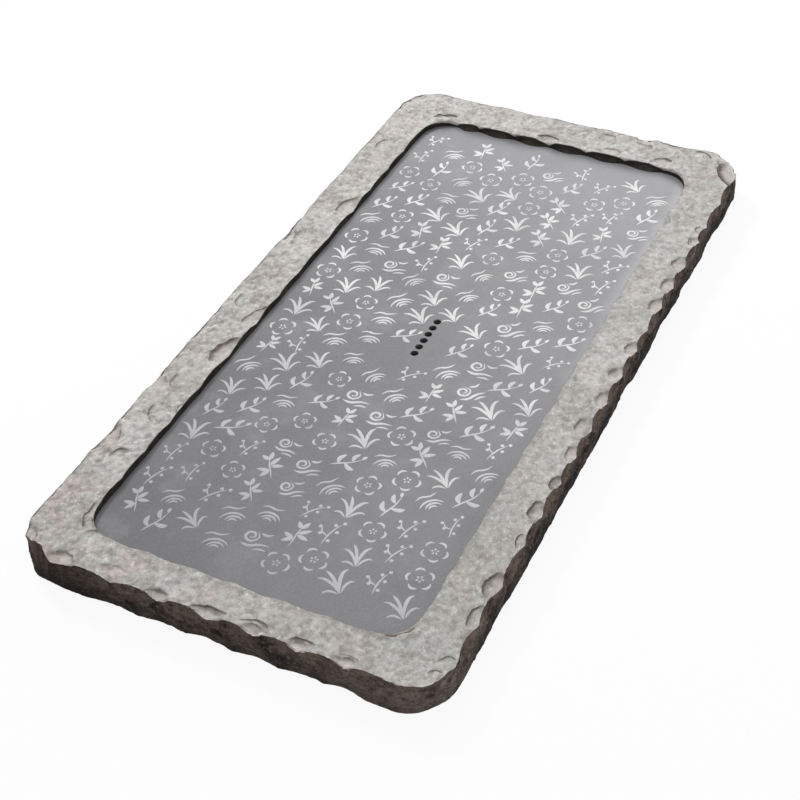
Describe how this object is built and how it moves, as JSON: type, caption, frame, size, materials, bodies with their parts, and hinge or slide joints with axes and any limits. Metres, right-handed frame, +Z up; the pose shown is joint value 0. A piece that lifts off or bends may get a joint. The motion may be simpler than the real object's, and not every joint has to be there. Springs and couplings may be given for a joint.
{
  "type": "gongfu tea tray",
  "caption": "Long stone tea tray: a shallow basin with a row of drain holes in a rough border, a covered sump and hose outlet below, on rubber pads.",
  "frame": {"origin": "on the table, under the middle of the slab", "axes": "+X along the long sides, away from the short side nearest the viewer in the picture; +Y to the back long side; +Z up"},
  "size_m": [0.8, 0.4, 0.035],
  "materials": {
    "stone": "matte",
    "cover_steel": "satin",
    "screw_steel": "satin",
    "silicone": "matte",
    "brass": "satin",
    "foot_rubber": "matte"
  },
  "bodies": {
    "root": {"stone_slab": "stone", "sump_cover": "cover_steel", "cover_gasket": "silicone", "cover_screws": "screw_steel", "cover_inserts": "brass", "hose_spigot": "brass", "foot_near_front": "foot_rubber", "foot_near_back": "foot_rubber", "foot_middle_front": "foot_rubber", "foot_middle_back": "foot_rubber", "foot_far_front": "foot_rubber", "foot_far_back": "foot_rubber"}
  },
  "joints": []
}
